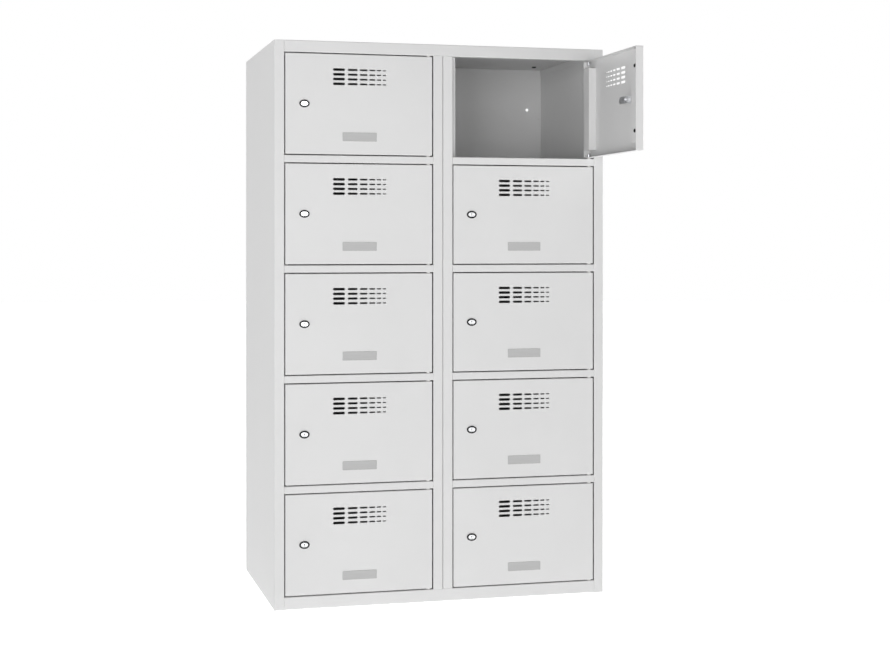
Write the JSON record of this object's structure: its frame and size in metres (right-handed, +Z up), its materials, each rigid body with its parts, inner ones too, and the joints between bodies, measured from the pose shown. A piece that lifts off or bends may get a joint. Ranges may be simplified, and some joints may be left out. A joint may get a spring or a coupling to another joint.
{
  "type": "parcel locker",
  "caption": "Free-standing sheet-steel parcel locker with two columns of small hinged doors, each with a cam lock, label plate and ventilation slots.",
  "frame": {"origin": "centre of the carcass footprint, on the floor", "axes": "+Z up, +X to the right seen from the front, doors face -Y"},
  "size_m": [0.8, 0.8225, 1.314],
  "materials": {
    "powder_coat": "light grey satin powder coat",
    "label": "matt grey",
    "lock_metal": "bright chrome with a black ring",
    "zinc_steel": "zinc plated",
    "nylon": "natural nylon",
    "black_plastic": "matt black"
  },
  "bodies": {
    "carcass": {"side_panel_left": "powder_coat", "side_panel_right": "powder_coat", "centre_panel_left": "powder_coat", "centre_panel_right": "powder_coat", "top_panel": "powder_coat", "base_panel": "powder_coat", "base_stringer": "powder_coat", "rear_panel": "powder_coat", "shelf_left_1": "powder_coat", "shelf_left_2": "powder_coat", "shelf_left_3": "powder_coat", "shelf_left_4": "powder_coat", "shelf_right_1": "powder_coat", "shelf_right_2": "powder_coat", "shelf_right_3": "powder_coat", "shelf_right_4": "powder_coat", "hinge_pins": "zinc_steel", "hinge_washers": "nylon", "hole_plugs": "black_plastic"},
    "door_left_1": {"door_left_1": "powder_coat", "label_plate_left_1": "label", "lock_body_left_1": "lock_metal"},
    "lock_left_1": {"lock_cam_left_1": "zinc_steel"},
    "door_left_2": {"door_left_2": "powder_coat", "label_plate_left_2": "label", "lock_body_left_2": "lock_metal"},
    "lock_left_2": {"lock_cam_left_2": "zinc_steel"},
    "door_left_3": {"door_left_3": "powder_coat", "label_plate_left_3": "label", "lock_body_left_3": "lock_metal"},
    "lock_left_3": {"lock_cam_left_3": "zinc_steel"},
    "door_left_4": {"door_left_4": "powder_coat", "label_plate_left_4": "label", "lock_body_left_4": "lock_metal"},
    "lock_left_4": {"lock_cam_left_4": "zinc_steel"},
    "door_left_5": {"door_left_5": "powder_coat", "label_plate_left_5": "label", "lock_body_left_5": "lock_metal"},
    "lock_left_5": {"lock_cam_left_5": "zinc_steel"},
    "door_right_1": {"door_right_1": "powder_coat", "label_plate_right_1": "label", "lock_body_right_1": "lock_metal"},
    "lock_right_1": {"lock_cam_right_1": "zinc_steel"},
    "door_right_2": {"door_right_2": "powder_coat", "label_plate_right_2": "label", "lock_body_right_2": "lock_metal"},
    "lock_right_2": {"lock_cam_right_2": "zinc_steel"},
    "door_right_3": {"door_right_3": "powder_coat", "label_plate_right_3": "label", "lock_body_right_3": "lock_metal"},
    "lock_right_3": {"lock_cam_right_3": "zinc_steel"},
    "door_right_4": {"door_right_4": "powder_coat", "label_plate_right_4": "label", "lock_body_right_4": "lock_metal"},
    "lock_right_4": {"lock_cam_right_4": "zinc_steel"},
    "door_right_5": {"door_right_5": "powder_coat", "label_plate_right_5": "label", "lock_body_right_5": "lock_metal"},
    "lock_right_5": {"lock_cam_right_5": "zinc_steel"}
  },
  "joints": [
    {"name": "door_left_1_hinge", "type": "hinge", "parent": "carcass", "child": "door_left_1", "pos_m": [-0.034, -0.237, 1.1671], "axis": [0, 0, 1], "range_deg": [0, 100]},
    {"name": "lock_left_1_turn", "type": "hinge", "parent": "door_left_1", "child": "lock_left_1", "pos_m": [-0.3302, -0.245, 1.1671], "axis": [0, 1, 0], "range_deg": [0, 180]},
    {"name": "door_left_2_hinge", "type": "hinge", "parent": "carcass", "child": "door_left_2", "pos_m": [-0.034, -0.237, 0.9123], "axis": [0, 0, 1], "range_deg": [0, 100]},
    {"name": "lock_left_2_turn", "type": "hinge", "parent": "door_left_2", "child": "lock_left_2", "pos_m": [-0.3302, -0.245, 0.9123], "axis": [0, 1, 0], "range_deg": [0, 180]},
    {"name": "door_left_3_hinge", "type": "hinge", "parent": "carcass", "child": "door_left_3", "pos_m": [-0.034, -0.237, 0.6575], "axis": [0, 0, 1], "range_deg": [0, 100]},
    {"name": "lock_left_3_turn", "type": "hinge", "parent": "door_left_3", "child": "lock_left_3", "pos_m": [-0.3302, -0.245, 0.6575], "axis": [0, 1, 0], "range_deg": [0, 180]},
    {"name": "door_left_4_hinge", "type": "hinge", "parent": "carcass", "child": "door_left_4", "pos_m": [-0.034, -0.237, 0.4027], "axis": [0, 0, 1], "range_deg": [0, 100]},
    {"name": "lock_left_4_turn", "type": "hinge", "parent": "door_left_4", "child": "lock_left_4", "pos_m": [-0.3302, -0.245, 0.4027], "axis": [0, 1, 0], "range_deg": [0, 180]},
    {"name": "door_left_5_hinge", "type": "hinge", "parent": "carcass", "child": "door_left_5", "pos_m": [-0.034, -0.237, 0.1479], "axis": [0, 0, 1], "range_deg": [0, 100]},
    {"name": "lock_left_5_turn", "type": "hinge", "parent": "door_left_5", "child": "lock_left_5", "pos_m": [-0.3302, -0.245, 0.1479], "axis": [0, 1, 0], "range_deg": [0, 180]},
    {"name": "door_right_1_hinge", "type": "hinge", "parent": "carcass", "child": "door_right_1", "pos_m": [0.3665, -0.237, 1.1671], "axis": [0, 0, 1], "range_deg": [-90, 10]},
    {"name": "lock_right_1_turn", "type": "hinge", "parent": "door_right_1", "child": "lock_right_1", "pos_m": [0.3745, -0.5332, 1.1671], "axis": [-1, 0, 0], "range_deg": [0, 180]},
    {"name": "door_right_2_hinge", "type": "hinge", "parent": "carcass", "child": "door_right_2", "pos_m": [0.3665, -0.237, 0.9123], "axis": [0, 0, 1], "range_deg": [0, 100]},
    {"name": "lock_right_2_turn", "type": "hinge", "parent": "door_right_2", "child": "lock_right_2", "pos_m": [0.0703, -0.245, 0.9123], "axis": [0, 1, 0], "range_deg": [0, 180]},
    {"name": "door_right_3_hinge", "type": "hinge", "parent": "carcass", "child": "door_right_3", "pos_m": [0.3665, -0.237, 0.6575], "axis": [0, 0, 1], "range_deg": [0, 100]},
    {"name": "lock_right_3_turn", "type": "hinge", "parent": "door_right_3", "child": "lock_right_3", "pos_m": [0.0703, -0.245, 0.6575], "axis": [0, 1, 0], "range_deg": [0, 180]},
    {"name": "door_right_4_hinge", "type": "hinge", "parent": "carcass", "child": "door_right_4", "pos_m": [0.3665, -0.237, 0.4027], "axis": [0, 0, 1], "range_deg": [0, 100]},
    {"name": "lock_right_4_turn", "type": "hinge", "parent": "door_right_4", "child": "lock_right_4", "pos_m": [0.0703, -0.245, 0.4027], "axis": [0, 1, 0], "range_deg": [0, 180]},
    {"name": "door_right_5_hinge", "type": "hinge", "parent": "carcass", "child": "door_right_5", "pos_m": [0.3665, -0.237, 0.1479], "axis": [0, 0, 1], "range_deg": [0, 100]},
    {"name": "lock_right_5_turn", "type": "hinge", "parent": "door_right_5", "child": "lock_right_5", "pos_m": [0.0703, -0.245, 0.1479], "axis": [0, 1, 0], "range_deg": [0, 180]}
  ]
}
